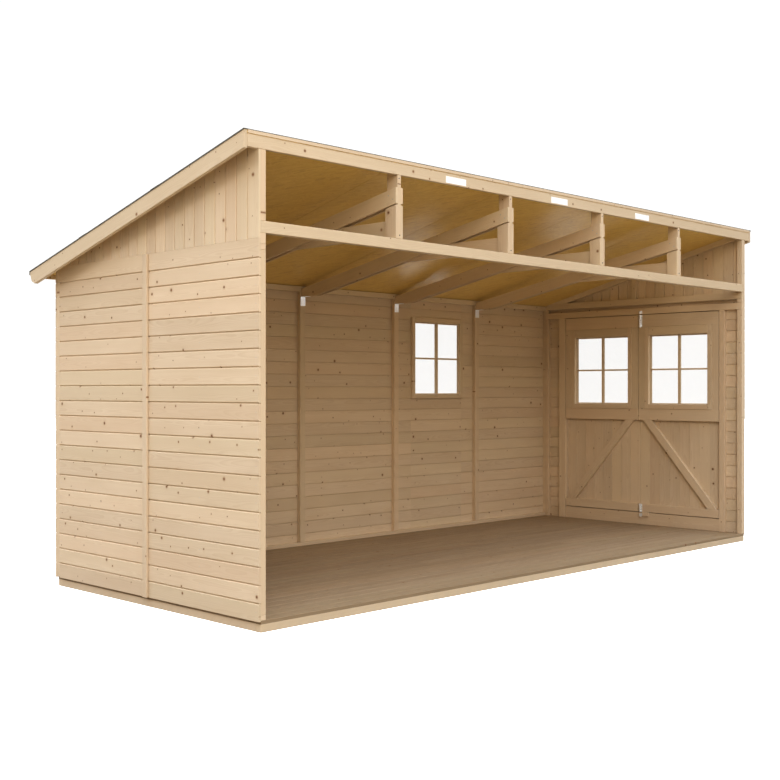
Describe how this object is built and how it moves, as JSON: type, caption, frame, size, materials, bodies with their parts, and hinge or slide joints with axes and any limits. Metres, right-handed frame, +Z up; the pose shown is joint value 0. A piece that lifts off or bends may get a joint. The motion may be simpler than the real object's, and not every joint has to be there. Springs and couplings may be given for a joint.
{
  "type": "open-fronted garden shed",
  "caption": "Timber lean-to garden shed with a fully open long side, a mono-pitch boarded roof on trusses, a glazed double door in one end and a small window in the back.",
  "frame": {"origin": "on the ground, under the middle of the roof's outline", "axes": "+X along the shed to the right as seen from the open side, +Y from the open side to the back wall, +Z up"},
  "size_m": [5.326, 2.224, 2.5803],
  "materials": {
    "wall_timber": "planed softwood, untreated, with small brown knots",
    "frame_timber": "planed softwood framing, untreated",
    "floor_timber": "tongued floor boards, untreated",
    "roof_sheet": "oriented strand board, bare underside",
    "roof_felt": "grey bitumen roof felt, mineral top",
    "zinc_steel": "bright zinc plated",
    "glazing": "clear flat sheet"
  },
  "bodies": {
    "shed": {"base_long_beams": "frame_timber", "base_joists": "frame_timber", "floor_boards": "floor_timber", "left_wall_boards": "wall_timber", "left_wall_cover_strip": "wall_timber", "left_wall_frame": "frame_timber", "left_gable_boards": "wall_timber", "left_gable_frame": "frame_timber", "back_wall_boards": "wall_timber", "back_wall_frame": "frame_timber", "back_window_frame": "frame_timber", "back_window_glass": "glazing", "right_wall_boards": "wall_timber", "right_wall_frame": "frame_timber", "door_sill": "frame_timber", "door_stop_block": "frame_timber", "bolt_keepers": "zinc_steel", "right_gable_boards": "wall_timber", "right_gable_frame": "frame_timber", "hinge_plates": "zinc_steel", "header_beam": "frame_timber", "truss_posts": "frame_timber", "truss_ties": "frame_timber", "truss_rafters": "frame_timber", "truss_packers": "frame_timber", "rafter_brackets": "zinc_steel", "roof_deck": "roof_sheet", "roof_covering": "roof_felt", "barge_boards": "wall_timber", "front_fascia": "wall_timber", "back_eave_batten": "wall_timber", "joint_plates": "zinc_steel"},
    "left_door": {"left_door_boards": "wall_timber", "left_door_rails": "frame_timber", "left_door_window_frame": "frame_timber", "left_door_glass": "glazing", "left_door_hinges": "zinc_steel"},
    "right_door": {"right_door_boards": "wall_timber", "right_door_rails": "frame_timber", "right_door_window_frame": "frame_timber", "right_door_glass": "glazing", "right_door_hinges": "zinc_steel", "bolt_barrels": "zinc_steel"},
    "top_bolt": {"top_bolt": "zinc_steel"},
    "bottom_bolt": {"bottom_bolt": "zinc_steel"}
  },
  "joints": [
    {"name": "left_door_hinge", "type": "hinge", "parent": "shed", "child": "left_door", "pos_m": [2.572, 0.6735, 0.21], "axis": [0, 0, 1], "range_deg": [0, 170]},
    {"name": "right_door_hinge", "type": "hinge", "parent": "shed", "child": "right_door", "pos_m": [2.572, -0.8995, 0.21], "axis": [0, 0, -1], "range_deg": [0, 170]},
    {"name": "top_bolt_slide", "type": "slide", "parent": "right_door", "child": "top_bolt", "axis": [0, 0, 1], "range_m": [0, 0.03]},
    {"name": "bottom_bolt_slide", "type": "slide", "parent": "right_door", "child": "bottom_bolt", "axis": [0, 0, -1], "range_m": [0, 0.03]}
  ]
}
